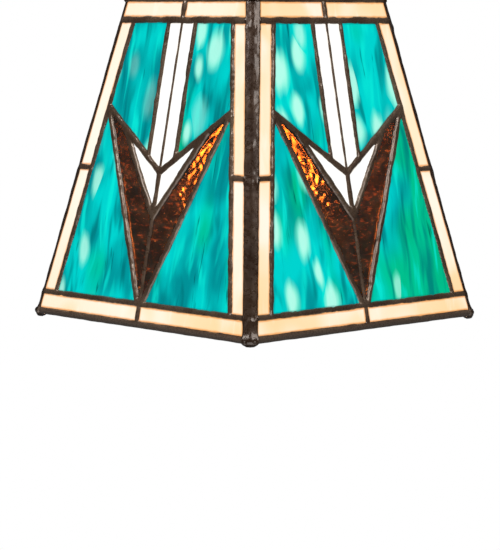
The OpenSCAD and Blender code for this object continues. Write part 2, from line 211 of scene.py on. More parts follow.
def curve_points(points, count):
    """A smooth closed curve through points, as count evenly numbered ones."""
    points = np.asarray(points, float)
    n = len(points)
    found = []
    for t in np.linspace(0, n, count, endpoint=False):
        i, f = int(t) % n, t % 1
        a, b, c, d = (points[(i + k) % n] for k in (-1, 0, 1, 2))
        found.append(0.5 * (2 * b + (c - a) * f + (2 * a - 5 * b + 4 * c - d) * f * f
                            + (3 * b - a - 3 * c + d) * f ** 3))
    return np.array(found)


# ---------------------------------------------------------------- a side of the shade

class Side:
    """One glass side: its plane, and the directions across it, up its slope and out of it."""

    def __init__(self, number, name):
        self.number, self.name = number, name
        turn = math.radians(90 * number)
        self.across = np.array([math.cos(turn), math.sin(turn), 0.0])
        verts, triangles = self.cad(f"border_strips_{name}")
        corners = verts[triangles]
        cross = np.cross(corners[:, 1] - corners[:, 0], corners[:, 2] - corners[:, 0])
        away = np.array([math.sin(turn), -math.cos(turn), 0.0])
        outer = cross[cross @ away > 0.9 * np.linalg.norm(cross, axis=1)].sum(0)
        self.out = outer / np.linalg.norm(outer)
        self.up = np.cross(self.out, self.across)
        self.plane = (verts @ self.out).max()
        self.low = (verts @ self.up).min()
        self.thickness = self.plane - (verts @ self.out).min()

    @staticmethod
    def cad(node):
        mesh = frame["nodes"][node].data
        mesh.calc_loop_triangles()
        verts = np.array([v.co for v in mesh.vertices], float) / MM
        return verts, np.array([t.vertices[:] for t in mesh.loop_triangles])

    def to_side(self, points):
        """Row frame to (across, up the slope, height over the glass)."""
        return np.column_stack([points @ self.across, points @ self.up - self.low,
                                points @ self.out - self.plane])

    def to_row(self, points):
        return (points[:, :1] * self.across + (points[:, 1:2] + self.low) * self.up
                + (points[:, 2:] + self.plane) * self.out)

    def outlines(self, node, level=None):
        """The loops that bound a node's faces at one height over the glass, its top by default,
        each anticlockwise and without points on straight runs."""
        verts, triangles = self.cad(node)
        verts = self.to_side(verts)
        level = verts[:, 2].max() if level is None else level
        keys = [tuple(p) for p in np.round(verts[:, :2], 2)]
        flat = np.abs(verts[triangles][:, :, 2] - level).max(1) < 0.01
        edges = set()
        for triangle in triangles[flat]:
            ring = [keys[v] for v in triangle]
            for edge in zip(ring, ring[1:] + ring[:1]):
                if edge[::-1] in edges:
                    edges.discard(edge[::-1])
                else:
                    edges.add(edge)
        follow = dict(edges)
        loops = []
        while follow:
            start, point = follow.popitem()
            ring = [start]
            while point != start:
                ring.append(point)
                point = follow.pop(point)
            loops.append(self.tidy(np.array(ring)))
        return loops

    @staticmethod
    def tidy(ring):
        before, after = ring - np.roll(ring, 1, axis=0), np.roll(ring, -1, axis=0) - ring
        turn = before[:, 0] * after[:, 1] - before[:, 1] * after[:, 0]
        size = np.linalg.norm(before, axis=1) * np.linalg.norm(after, axis=1)
        ring = ring[np.abs(turn) > 0.002 * size]
        area = (ring[:, 0] * np.roll(ring[:, 1], -1) - ring[:, 1] * np.roll(ring[:, 0], -1)).sum()
        return ring if area > 0 else ring[::-1]


sides = [Side(i, name) for i, name in enumerate(SIDES)]
FRONT = sides[0]
seam_loops = FRONT.outlines("solder_seams_front")
seam_edge = max(seam_loops, key=lambda ring: np.ptp(ring[:, 0]) * np.ptp(ring[:, 1]))
windows = [ring for ring in seam_loops if ring is not seam_edge]


def window_of(outline):
    """The window in the solder through which a pane shows."""
    middle = outline.mean(0)[None]
    return min(windows, key=lambda ring: signed_distance(middle, ring)[0])


# ---------------------------------------------------------------- glass panes

# Per kind of glass: grid step across and up, and the height of its ripples, in millimetres
CUTS = {"cream_glass": (3, 4, 0.10), "teal_glass": (3, 3, 0.22), "white_glass": (3, 4, 0.08),
        "amber_glass": (0.75, 0.65, 0.75)}
# Distances in from the window's edge at which a pane is cut again
EDGE_CUTS = (-0.6, 0.2, 0.9, 1.8, 3.0)
# How deep the ripples of the outer face are beside those of the inner one
OUTER_DEPTH = 0.4


def cut_pane(outline, window, step_u, step_s):
    """The outline cut into small faces, with extra cuts beside the window's edges."""
    sheet = bmesh.new()
    sheet.faces.new([sheet.verts.new((u, s, 0)) for u, s in outline])
    low, high = outline.min(0), outline.max(0)
    planes = [((u, 0, 0), (1, 0, 0)) for u in np.arange(low[0] + step_u, high[0], step_u)]
    planes += [((0, s, 0), (0, 1, 0)) for s in np.arange(low[1] + step_s, high[1], step_s)]
    for p, q in zip(window, np.roll(window, -1, axis=0)):
        inward = np.array([p[1] - q[1], q[0] - p[0]]) / np.linalg.norm(q - p)
        planes += [((*(p + inward * d), 0), (*inward, 0)) for d in EDGE_CUTS]
    for point, normal in planes:
        bmesh.ops.bisect_plane(sheet, geom=sheet.verts[:] + sheet.edges[:] + sheet.faces[:],
                               dist=1e-4, plane_co=point, plane_no=normal)
    sheet.verts.index_update()
    points = np.array([v.co[:2] for v in sheet.verts])
    faces = [[v.index for v in face.verts] for face in sheet.faces]
    sheet.free()
    return points, faces


def ripples(points, kind, seed, inset, depth=1.0):
    """Height of the glass's surface over flat, for one face of one pane. The deep ripples of the
    amber glass die out towards the solder, and only they differ in depth from face to face."""
    size = CUTS[kind][2]
    if kind == "amber_glass":
        swirl = 0.9 * noise(points / (8, 6), seed + 5)
        cells = points / (4.0, 2.7) + swirl[:, None]
        size = size * depth * (0.4 + 0.6 * smooth(inset, 0, 2.5))
        return size * (noise(cells, seed) + 0.30 * noise(1.9 * cells, seed + 1))
    return size * (noise(points / (14, 26), seed) + 0.4 * noise(points / (6, 9), seed + 1))


panes = {}
for group, kind in GLASS_SLOTS.items():
    panes[group] = []
    outlines = FRONT.outlines(f"{group}_front", 0)
    for outline in sorted(outlines, key=lambda o: (o.mean(0)[1], o.mean(0)[0])):
        window = window_of(outline)
        points, faces = cut_pane(outline, window, *CUTS[kind][:2])
        panes[group].append((points, faces, -signed_distance(points, window)))


# How many pale ovals and how much green the teal sheet shows in each pane, from 0 to 1, and how
# light it is, from -1 to 1, for the left and the right pane seen from outside
TEAL_SHEETS = {
    "upper_teal_front": ((0.62, 0.40, -0.4), (0.72, 0.60, 0.3)),
    "lower_teal_front": ((0.40, 0.30, 0.0), (0.10, 0.40, -0.5)),
    "upper_teal_right": ((1.00, 0.30, 0.6), (0.80, 0.00, 1.0)),
    "lower_teal_right": ((0.95, 0.40, 0.2), (0.15, 0.78, 0.6)),
    "upper_teal_back": ((0.75, 0.00, 0.4), (0.35, 0.50, 0.0)),
    "lower_teal_back": ((0.20, 0.60, -0.3), (0.85, 0.10, 0.3)),
    "upper_teal_left": ((0.50, 0.40, 0.0), (0.90, 0.15, 0.6)),
    "lower_teal_left": ((0.90, 0.10, 0.3), (0.30, 0.50, -0.2))}
# How pale the cream sheet of each side is, from -1 to 1
PALENESS = {"front": 1.0, "right": -0.8, "back": 0.2, "left": -0.2}


def add_glass(side, group, material):
    """A side's panes of one group. For the shaders, the attribute 'pane' holds (across, up, pane's
    own number), 'edge' the distance in from the window's edge and 1 on the inner face, and 'sheet'
    how many ovals, how green and how light or pale its sheet is."""
    kind = GLASS_SLOTS[group]
    node = f"{group}_{side.name}"
    parts, place, inset, sheet = [], [], [], []
    for k, (points, faces, depth) in enumerate(panes[group]):
        seed = 1000 * side.number + 100 * list(GLASS_SLOTS).index(group) + 10 * k
        front = ripples(points, kind, seed, depth, OUTER_DEPTH)
        back = -side.thickness + ripples(points, kind, seed + 3, depth)
        verts, all_faces = slab(points, faces, front, back)
        parts.append((side.to_row(verts), all_faces))
        number = np.full(2 * len(points), seed / 10)
        place.append(np.column_stack([np.tile(points, (2, 1)), number]))
        inner = np.repeat([0.0, 1.0], len(points))
        inset.append(np.column_stack([np.tile(depth, 2), inner, 0 * inner]))
        left_right = TEAL_SHEETS.get(node, ((0, 0, PALENESS[side.name]),) * 2)
        sheet.append(np.tile(left_right[int(points[:, 0].mean() > 0)], (2 * len(points), 1)))
    verts, faces = join(parts)
    piece = make_piece(f"glass_{node}", verts, faces, material, SHADE, node, kind)
    for name, values in (("pane", place), ("edge", inset), ("sheet", sheet)):
        attribute = piece.data.attributes.new(name, "FLOAT_VECTOR", "POINT")
        attribute.data.foreach_set("vector", np.concatenate(values).astype(np.float32).ravel())
    sharpen(piece, 60)


# ---------------------------------------------------------------- solder seams

# Grid step, how far the solder's edge runs on under the glass's face, how far past the side's edge
# the solder's second foot lies, and where the solder ends inside the glass, in millimetres
SEAM_GRID = 0.7
SEAM_SKIRT = 0.25
BEYOND_EDGE = 0.5
SEAM_SUNK = -0.3


def seam_field():
    """The grid over a side, and its distances to the nearest window, to the second nearest one and
    to the side's edge."""
    low, high = seam_edge.min(0) - 2, seam_edge.max(0) + 2
    us = np.arange(low[0], high[0], SEAM_GRID)
    ss = np.arange(low[1], high[1], SEAM_GRID)
    grid = np.stack(np.meshgrid(us, ss, indexing="ij"), -1)
    flat = grid.reshape(-1, 2)
    near = np.sort([signed_distance(flat, ring) for ring in windows], axis=0)
    edge = signed_distance(flat, seam_edge)
    second = np.minimum(near[1], BEYOND_EDGE - edge)
    shape = grid.shape[:2]
    return grid, near[0].reshape(shape), second.reshape(shape), edge.reshape(shape)


field = seam_field()


def seam_face(seed):
    """One face's solder: ragged distance to the window, and height over the glass."""
    grid, near, second, _ = field
    flat = grid.reshape(-1, 2)
    shape = near.shape
    ragged = 0.34 * noise(flat / 7, seed) + 0.20 * noise(flat / 2.6, seed + 1)
    near = near + ragged.reshape(shape) * np.clip((near + second) / 3.4, 0.4, 1.2)
    lump = 1 + 0.20 * noise(flat / 6, seed + 2) + 0.09 * noise(flat / 2.2, seed + 3)
    inside, second = np.maximum(near, 0), np.maximum(second, 0)
    width = np.maximum(inside + second, 1e-6)
    crown = np.minimum(0.36 * width, 1.5) * lump.reshape(shape)
    height = crown * 2 * np.sqrt(inside * second) / width
    return near, np.where(near > 0, height, 1.2 * near)


def add_seams(side, material):
    grid, _, _, edge = field
    seed = 50 + 20 * side.number
    near_front, front = seam_face(seed)
    near_back, back = seam_face(seed + 10)
    near = np.maximum(near_front, near_back)
    used, faces = grid_faces(touching((near > 0) & (edge < 0)))
    points = grid.copy()
    for distance, line in ((near, -SEAM_SKIRT), (-edge, 0)):
        slope = np.stack(np.gradient(distance, SEAM_GRID), -1)
        slope /= np.maximum(np.linalg.norm(slope, axis=-1, keepdims=True), 0.2)
        points += slope * np.clip(line - distance, 0, 1.2 * SEAM_GRID)[..., None]
    sunk = near < -SEAM_SKIRT
    front = np.where(sunk, SEAM_SUNK, front)
    back = np.where(sunk, SEAM_SUNK, back)
    verts, faces = slab(points[used], faces, front[used], -side.thickness - back[used])
    node = f"solder_seams_{side.name}"
    make_piece(f"bead_{node}", side.to_row(verts), faces, material, SHADE, node, "solder")


# ---------------------------------------------------------------- corners and rims

CORNER_STEP = 1.1
CORNER_POINTS = 40
# The blob at a corner's foot: the height at which its dome begins, and the dome's reach
BLOB_DOME, BLOB_REACH = 3.4, 3.6


def corner_frame(i):
    """Where two sides' glass planes meet: the line's foot, its direction, out and sideways."""
    a, b = sides[i], sides[(i + 1) % 4]
    along = np.cross(a.out, b.out)
    along /= np.linalg.norm(along) * np.sign(along[2])
    out = (a.out + b.out) / np.linalg.norm(a.out + b.out)
    foot = np.linalg.solve([a.out, b.out, a.up], [a.plane, b.plane, a.low])
    return foot, along, out, np.cross(along, out), math.acos(a.out @ b.out) / 2


def add_corner(i, material):
    """A rounded bead down the line where two sides meet, with knots where seams run into it and a
    blob at its foot."""
    foot, along, out, across, half = corner_frame(i)

    def at(depth, height):
        """A point at a depth in from the sharp corner and a height over the glass, on side b."""
        return np.array([height * math.cos(half) - depth * math.sin(half),
                         height * math.sin(half) + depth * math.cos(half)])

    flip = np.array([1, -1])
    crown, hollow = np.array([-2.4, 0]), np.array([-8.6, 0])
    half_section = [np.array([-2.75, 2.4]), at(5.3, 0.62), at(6.1, 0.25), at(6.8, -0.9),
                    at(6.9, -2.6), at(6.3, -4.0)]
    section = curve_points([crown] + half_section + [hollow]
                           + [p * flip for p in half_section[::-1]], CORNER_POINTS)
    heart = np.array([-5.0, 0])
    node = f"corner_bead_{CORNERS[i]}"
    low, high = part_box(node)
    top = (high[2] / MM - foot[2]) / along[2]
    bottom = (low[2] / MM - foot[2]) / along[2]
    turn = np.linspace(0, 2 * math.pi, CORNER_POINTS, endpoint=False)
    knots = meeting_heights()
    rings = []
    for t in np.arange(bottom + 0.3, top, CORNER_STEP):
        swell = 1 + 0.28 * math.exp(-((t - bottom - 3.5) / 3.2) ** 2)
        knot = sum(math.exp(-((t - height) / 2.6) ** 2) for height in knots)
        below = max(0, bottom + BLOB_DOME - t) / BLOB_REACH
        closing = max(0.05, math.sqrt(max(0, 1 - below ** 2)))
        ring = heart + (section - heart) * swell * closing
        where = np.column_stack([np.full(CORNER_POINTS, t / 9), np.cos(turn) * 1.3,
                                 np.sin(turn) * 1.3])
        lump = 0.26 * noise(where, 300 + i) + 0.13 * noise(where * 3.4, 310 + i)
        lump += knot * (0.18 + 0.55 * noise(where * 2.7, 320 + i))
        outward = (ring - heart) / np.maximum(np.linalg.norm(ring - heart, axis=1), 1)[:, None]
        ring = ring + outward * lump[:, None] * closing
        rings.append(foot + t * along + ring[:, :1] * out + ring[:, 1:] * across)
    verts, faces = loft(rings)
    make_piece(f"bead_{node}", verts, faces, material, SHADE, node, "solder")


def meeting_heights():
    """Heights up the slope at which seams meet the corner: over the bottom border, at the break
    in the side border and under the top border."""
    strips = sorted(FRONT.outlines("side_strips_front", 0), key=lambda o: o.mean(0)[1])
    return (strips[0][:, 1].min() - 0.5, (strips[0][:, 1].max() + strips[-1][:, 1].min()) / 2,
            strips[-1][:, 1].max() + 0.5)


def rim_bar(side, middle_s, half_s, half_n, reach, seed):
    """A rounded, slightly uneven bar across a side, around the middle of its glass."""
    turn = np.linspace(0, 2 * math.pi, 20, endpoint=False)
    rings = []
    for u in np.arange(-reach, reach + 0.1, 1.6):
        where = np.column_stack([np.full(20, u / 9), np.cos(turn), np.sin(turn)])
        size = 1 + 0.05 * noise(where, seed) + 0.025 * noise(where * 3, seed + 1)
        rings.append(np.column_stack([np.full(20, u), middle_s + half_s * size * np.cos(turn),
                                      half_n * size * np.sin(turn) - side.thickness / 2]))
    verts, faces = loft(rings)
    return side.to_row(verts), faces


def add_rims(material):
    """The round rim under the glass, and the flatter one that the cap sits on."""
    low, high = seam_edge[:, 1].min(), seam_edge[:, 1].max()
    half_low = seam_edge[seam_edge[:, 1] < low + 1, 0].max()
    half_high = seam_edge[seam_edge[:, 1] > high - 1, 0].max()
    bottom = [rim_bar(s, low - 0.9, 2.3, 2.9, half_low + 2, 400 + s.number) for s in sides]
    top = [rim_bar(s, high - 0.1, 1.4, 2.6, half_high + 2, 420 + s.number) for s in sides]
    make_piece("bead_bottom_rim", *join(bottom), material, SHADE, "bottom_rim", "solder")
    make_piece("bead_top_rim", *join(top), material, SHADE, "top_rim", "solder")


# ---------------------------------------------------------------- small hardware

def radii(node):
    """(outer radius, lowest z, highest z) of a node on the axis, in millimetres."""
    low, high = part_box(node)
    return (high.x - low.x) / 2 / MM, low.z / MM, high.z / MM


def refined(node, material, body, bevel):
    """A CAD node again, with its sharp edges rounded and its curves shaded smooth."""
    piece = bmesh.new()
    piece.from_mesh(frame["nodes"][node].data)
    bmesh.ops.remove_doubles(piece, verts=piece.verts[:], dist=1e-6)
    bmesh.ops.dissolve_limit(piece, angle_limit=math.radians(0.5), verts=piece.verts[:],
                             edges=piece.edges[:])
    sharp = [e for e in piece.edges if e.is_manifold and e.calc_face_angle(0) > math.radians(32)]
    bmesh.ops.bevel(piece, geom=sharp, offset=bevel * MM, segments=2, profile=0.5,
                    affect="EDGES", clamp_overlap=True)
    mesh = bpy.data.meshes.new(f"fine_{node}")
    piece.to_mesh(mesh)
    piece.free()
    sharpen(finish_piece(mesh, material, body, node), 40)


def add_cap(material):
    """The pressed cap: a shallow square pyramid of sheet metal with softened hips, a flat land
    round the nipple and under the edge, and round holes that let the warm air out."""
    low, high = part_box("cap")
    half, seat = high.x / MM, low.z / MM
    rise = (high.z - low.z) / MM
    land, lip, edge_h, sheet = 15.0, 58.0, 1.5, 1.2
    vent_apart, vent_out, vent_radius = 16.0, 38.0, 2.5
    holes = [(0.0, 0.0, radii("hanging_nipple")[0] + 0.15)]
    for turn, step in itertools.product(range(4), (-1, 0, 1)):
        a = math.radians(90 * turn)
        x, y = vent_apart * step, -vent_out
        holes.append((x * math.cos(a) - y * math.sin(a), x * math.sin(a) + y * math.cos(a),
                      vent_radius))
    line = np.linspace(-half, half, 127)
    grid = np.stack(np.meshgrid(line, line, indexing="ij"), -1)
    gap = np.full(grid.shape[:2], np.inf)
    points = grid.copy()
    for x, y, r in holes:
        away = grid - (x, y)
        reach = np.maximum(np.linalg.norm(away, axis=-1), 0.01)
        gap = np.minimum(gap, reach - r)
        snap = (reach < r) & (reach > r - 1.5)
        points[snap] = (x, y) + away[snap] / reach[snap][:, None] * r
    used, faces = grid_faces(touching(gap > 0))
    points = points[used]
    far, near = np.abs(points).max(1), np.abs(points).min(1)
    hip = far + 1.2 * np.exp(-(far - near) / 1.6)
    slope = (rise - edge_h) / (half - land)
    top = seat + rise - slope * np.maximum(hip - land, 0)
    top = np.where(far > half - 0.01, seat + edge_h, np.maximum(top, seat + edge_h))
    top += 0.12 * noise(points / 11, 900)
    drop = sheet * math.hypot(1, slope)
    under = np.where(far > lip, seat + 0.02, np.minimum(top - drop, seat + rise - sheet))
    verts, faces = slab(points, faces, top, under)
    piece = make_piece("fine_cap", verts, faces, material, SHADE, "cap", "bronze")
    sharpen(piece, 35)


def thread(z, angles, pitch, start):
    """0 at the root and 1 at the crest of a right-hand thread."""
    return 0.5 + 0.5 * np.cos(2 * math.pi * ((z - start) / pitch - angles / (2 * math.pi)))


def add_nipple(material):
    """The threaded pipe, with its ends turned round."""
    outer, low, high = radii("hanging_nipple")
    bore = next(m for m in frame["record"]["mounts"] if m["name"] == "wire_way")["dims"]["r_mm"]
    pitch, depth = 0.94, 0.45
    zs = np.arange(high - 0.4, low + 0.4, -pitch / 6)
    levels = [(bore, high - 0.3, 0), (bore + 0.4, high, 0), (outer - 0.9, high, 0)]
    levels += [(outer, z, 1) for z in zs]
    levels += [(outer - 0.9, low, 0), (bore + 0.4, low, 0), (bore, low + 0.3, 0)]

    def radius(r, z, angles, outside):
        return r - outside * depth * (1 - thread(z, angles, pitch, 0))

    verts, faces = polar(levels, radius, 48, closed=True)
    piece = make_piece("fine_hanging_nipple", verts, faces, material, SHADE, "hanging_nipple",
                       "aged_brass")
    sharpen(piece, 50)


def add_nut(node, material):
    """A hexagon nut with its corners turned off on both faces."""
    _, low, high = radii(node)
    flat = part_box(node)[1].y / MM
    hole = radii("hanging_nipple")[0]

    def radius(r, z, angles, outside):
        hexagon = flat / np.cos(angles % (math.pi / 3) - math.pi / 6)
        return np.minimum(hexagon, r) if outside else np.full(len(angles), float(r))

    wide, ring = 1.2 * flat, 1.005 * flat
    levels = [(hole, low + 0.4, 0), (hole + 0.5, low, 0), (ring, low, 1),
              (ring + 0.6, low + 0.35, 1), (wide, low + 0.75, 1), (wide, high - 0.75, 1),
              (ring + 0.6, high - 0.35, 1), (ring, high, 1), (hole + 0.5, high, 0),
              (hole, high - 0.4, 0)]
    verts, faces = polar(levels, radius, 96, closed=True)
    piece = make_piece(f"fine_{node}", verts, faces, material, SHADE, node, "aged_brass")
    sharpen(piece, 25)


def add_bulb_base(material):
    """The screw base: a thin rolled thread on a shell, closed by a narrow shoulder."""
    outer, low, high = radii("bulb_screw_base")
    pitch, depth, wall = 3.63, 1.15, 0.4
    zs = np.arange(low, high - 1.2, pitch / 16)
    mouth = 8.2
    levels = [(mouth, high - wall, 0), (mouth, high, 0), (outer - 2.2, high, 0),
              (outer - 1.4, high - 0.5, 0)]
    levels += [(outer, z, 1) for z in zs[::-1]]
    levels += [(outer - wall, z, 1) for z in zs]

    def radius(r, z, angles, outside):
        if not outside:
            return np.full(len(angles), float(r))
        run = smooth(z, low + 1.5, low + 4) * (1 - smooth(z, high - 2.8, high - 1.6))
        return r - depth + depth * run * thread(z, angles, pitch, high)

    verts, faces = polar(levels, radius, 72, closed=True)
    piece = make_piece("fine_bulb_screw_base", verts, faces, material, BULB, "bulb_screw_base",
                       "bulb_metal")
    sharpen(piece, 50)


# Rounding of the edges of the pieces that are kept close to the CAD, in millimetres
ROUNDED = {
    "top_washer": (SHADE, 0.5), "inner_washer": (SHADE, 0.5),
    "socket_cap": (SHADE, 0.3), "socket_set_screw": (SHADE, 0.3), "socket_shell": (SHADE, 0.2),
    "socket_liner": (SHADE, 0.1), "socket_body": (SHADE, 0.4), "socket_screw_shell": (SHADE, 0.12),
    "socket_contact": (SHADE, 0.15), "terminal_screws": (SHADE, 0.3), "bulb_glass": (BULB, 0.2),
    "bulb_insulator": (BULB, 0.3), "bulb_foot_contact": (FOOT, 0.3), "bulb_stem": (BULB, 0.3),
    "bulb_filament": (BULB, 0.1)}


# ---------------------------------------------------------------- materials

class Shader:
    """A node material around one Principled BSDF."""

    def __init__(self, name):
        self.material = bpy.data.materials.new(name)
        self.material.use_nodes = True
        self.tree = self.material.node_tree
        self.tree.nodes.clear()
        self.surface = self.tree.nodes.new("ShaderNodeBsdfPrincipled")
        end = self.tree.nodes.new("ShaderNodeOutputMaterial")
        self.tree.links.new(self.surface.outputs[0], end.inputs["Surface"])

    def plug(self, socket, value):
        if isinstance(value, bpy.types.NodeSocket):
            self.tree.links.new(value, socket)
        elif value is not None:
            socket.default_value = value

    def add(self, kind, inputs=(), **settings):
        made = self.tree.nodes.new("ShaderNode" + kind)
        for key, value in settings.items():
            setattr(made, key, value)
        for key, value in dict(inputs).items():
            self.plug(made.inputs[key], value)
        return made

    def set(self, **values):
        for key, value in values.items():
            self.plug(self.surface.inputs[SOCKETS.get(key, key.capitalize())], value)

    def math(self, operation, a, b=None, c=None):
        made = self.add("Math", operation=operation)
        for k, value in enumerate((a, b, c)):
            self.plug(made.inputs[k], value)
        return made.outputs[0]

    def range(self, value, low, high, to_low=0.0, to_high=1.0):
        """Value from low to high as a smooth step between two outputs."""
        made = self.add("MapRange", interpolation_type="SMOOTHSTEP")
        for k, v in enumerate((value, low, high, to_low, to_high)):
            self.plug(made.inputs[k], v)
        return made.outputs[0]

    def mix(self, factor, a, b):
        made = self.add("Mix", data_type="RGBA")
        self.plug(made.inputs[0], factor)
        self.plug(made.inputs[6], a)
        self.plug(made.inputs[7], b)
        return made.outputs[2]

    def scaled(self, vector, scale):
        return self.add("Mapping", {"Vector": vector, "Scale": scale}).outputs[0]

    def noise(self, vector, scale=1.0, detail=2.0, distortion=0.0, roughness=0.5):
        return self.add("TexNoise", {"Vector": vector, "Scale": scale, "Detail": detail,
                                     "Distortion": distortion, "Roughness": roughness}).outputs[0]

    def bump(self, height, strength, distance):
        return self.add("Bump", {"Height": height, "Strength": strength,
                                 "Distance": distance}).outputs[0]

    def place(self):
        return self.add("TexCoord").outputs["Object"]


SOCKETS = {"base": "Base Color", "coat": "Coat Weight", "coat_roughness": "Coat Roughness",
           "ior": "IOR", "transmission": "Transmission Weight", "emission": "Emission Color",
           "emission_strength": "Emission Strength", "specular": "Specular IOR Level"}


def rgb(red, green, blue):
    """A colour given as it looks, from 0 to 255, as linear RGBA."""
    def linear(c):
        c /= 255
        return c / 12.92 if c <= 0.04045 else ((c + 0.055) / 1.055) ** 2.4
    return (linear(red), linear(green), linear(blue), 1.0)


bulb_low, bulb_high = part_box("bulb_glass")
bulb_centre = Vector((0, 0, bulb_low.z + (bulb_high.x - bulb_low.x) / 2))


def bulb_gap(s):
    """Distance from the bulb's centre."""
    return s.add("VectorMath", {0: s.place(), 1: tuple(bulb_centre)},
                 operation="DISTANCE").outputs["Value"]


def bulb_light(s, far):
    """How strongly the bulb lights a point of the shade: 1 beside it, far at the far corners."""
    return s.range(bulb_gap(s), 0.16, 0.085, far, 1.0)


def glass_attributes(s):
    """(place on the side and pane's number, distance in from the window's edge, 1 on the inner
    face)."""
    pane = s.add("Attribute", attribute_name="pane").outputs["Vector"]
    edge = s.add("SeparateXYZ", {0: s.add("Attribute", attribute_name="edge").outputs["Vector"]})
    return pane, edge.outputs[0], edge.outputs[1]


def sheet_values(s):
    """How many ovals, how green and how light or pale the pane's sheet is."""
    sheet = s.add("Attribute", attribute_name="sheet").outputs["Vector"]
    return s.add("SeparateXYZ", {0: sheet}).outputs


def lit_glass(s, colour, pane, inner):
    """Opalescent glass lit from inside: most of what is seen is its own glow, less on the inner
    face, and a little of its colour answers the light outside."""
    s.set(base=s.mix(s.range(inner, 0.2, 0.8, 0.16, 0.03), rgb(0, 0, 0), colour),
          emission=colour, emission_strength=s.range(inner, 0.2, 0.8, 1.0, 0.8),
          roughness=0.14, specular=0.04)
    grain = s.noise(s.scaled(pane, (0.09, 0.05, 3.1)), 3.0, 3.0)
    s.set(normal=s.bump(grain, 0.2, 0.0005))
    return s.material


def cream_material():
    """Cream glass, its painted glow whiter near the bulb, with a painted tan shade along the solder
    where the glow is weaker.
    """
    s = Shader("cream_glass")
    pane, edge, inner = glass_attributes(s)
    cloud = s.noise(s.scaled(pane, (0.024, 0.024, 1.7)), 1.0, 1.0, 0.2)
    streak = s.noise(s.scaled(pane, (0.16, 0.04, 2.3)), 1.0, 2.0, 0.4)
    near = bulb_light(s, 0.0)
    warm = s.mix(near, rgb(247, 213, 160), rgb(250, 236, 208))
    pale = s.mix(near, rgb(250, 232, 204), rgb(252, 246, 234))
    paleness = s.math("MULTIPLY_ADD", sheet_values(s)[2], 0.07, cloud)
    body = s.mix(s.range(paleness, 0.38, 0.60), warm, pale)
    body = s.mix(s.range(streak, 0.55, 0.8, 0, 0.4), body, rgb(255, 248, 234))
    # Painted shade: the glow turns tan and dimmer towards the solder at the window's edge.
    painted_edge_shade = s.math("ADD", edge, streak)
    body = s.mix(s.range(painted_edge_shade, 0.7, 1.9, 0.85, 0.0), body, rgb(238, 160, 88))
    return lit_glass(s, body, pane, inner)


def white_material():
    """White glass so bright that it shows hardly any pattern, with a painted warm shade along the
    solder.
    """
    s = Shader("white_glass")
    pane, edge, inner = glass_attributes(s)
    cloud = s.noise(s.scaled(pane, (0.05, 0.02, 1.3)), 1.0, 2.0)
    body = s.mix(s.range(cloud, 0.5, 0.75), rgb(254, 254, 253), rgb(243, 250, 243))
    # Painted shade: the glow turns warmer and dimmer towards the solder at the window's edge.
    painted_edge_shade = s.math("ADD", edge, s.math("MULTIPLY", cloud, 0.8))
    body = s.mix(s.range(painted_edge_shade, 0.35, 1.1, 0.7, 0.0), body, rgb(228, 214, 190))
    return lit_glass(s, body, pane, inner)


def teal_material():
    """Streaky glass: teal drawn out up the pane, green in places, with pale ovals, dark wisps and a
    painted dark shade along the solder.
    Each pane's own number moves it to another part of the pattern."""
    s = Shader("teal_glass")
    pane, edge, inner = glass_attributes(s)
    ovals, greenness, lightness = sheet_values(s)
    own = s.add("SeparateXYZ", {0: pane}).outputs[2]
    warp = s.noise(s.scaled(pane, (0.03, 0.02, 1.1)), 1.0, 1.0)
    push = s.add("CombineXYZ", {
        0: s.math("MULTIPLY_ADD", warp, 9, s.math("MULTIPLY", own, 31)),
        1: s.math("MULTIPLY_ADD", warp, 7, s.math("MULTIPLY", own, 47))})
    bent = s.add("VectorMath", {0: pane, 1: push.outputs[0]}, operation="ADD").outputs[0]
    cloud = s.noise(s.scaled(bent, (0.040, 0.022, 1.9)), 1.0, 1.5, 0.2)
    wisp = s.noise(s.scaled(bent, (0.135, 0.020, 2.7)), 1.0, 1.8, 0.3)
    patch = s.noise(s.scaled(bent, (0.030, 0.014, 0.83)), 1.0, 1.0)
    green = s.math("MULTIPLY_ADD", greenness, 0.42, patch)
    light = s.math("MULTIPLY_ADD", lightness, 0.11, cloud)
    body = s.mix(s.range(light, 0.36, 0.64), rgb(0, 138, 144), rgb(0, 203, 199))
    body = s.mix(s.range(green, 0.68, 0.88, 0.0, 0.85), body, rgb(0, 186, 128))
    body = s.mix(s.range(wisp, 0.52, 0.72, 0.0, 0.75), body, rgb(0, 106, 112))
    body = s.mix(s.range(wisp, 0.46, 0.30, 0.0, 0.7), body, rgb(10, 228, 212))
    thread = s.noise(s.scaled(bent, (0.42, 0.030, 1.3)), 1.0, 2.0, 0.6)
    body = s.mix(s.range(thread, 0.65, 0.76, 0.0, 0.70), body, rgb(0, 62, 70))
    cells = s.add("TexVoronoi", {"Vector": s.scaled(bent, (0.050, 0.025, 0.0)), "Scale": 1.0,
                                 "Randomness": 0.9}, voronoi_dimensions="2D")
    chance, size, _ = s.add("SeparateXYZ", {0: cells.outputs["Color"]}).outputs
    shape = s.math("MULTIPLY_ADD", wisp, 0.30, cells.outputs["Distance"])
    reach = s.math("MULTIPLY", shape, s.math("MULTIPLY_ADD", size, 0.5, 0.85))
    there = s.math("MULTIPLY", s.range(s.math("ADD", chance, ovals), 0.85, 1.15),
                   s.math("MULTIPLY_ADD", ovals, 0.5, 0.5))
    spot = s.math("MULTIPLY", s.range(reach, 0.54, 0.36), there)
    body = s.mix(s.math("MULTIPLY", spot, 0.78), body, rgb(128, 240, 214))
    core = s.math("MULTIPLY", s.range(reach, 0.44, 0.28), there)
    body = s.mix(s.math("MULTIPLY", core, 0.6), body, rgb(198, 252, 236))
    # Painted shade: the glow darkens to deep teal towards the solder at the window's edge.
    rim = s.range(s.math("ADD", edge, wisp), 0.2, 1.6, 0.5, 0.0)
    body = s.mix(rim, body, rgb(0, 92, 96))
    return lit_glass(s, body, pane, inner)


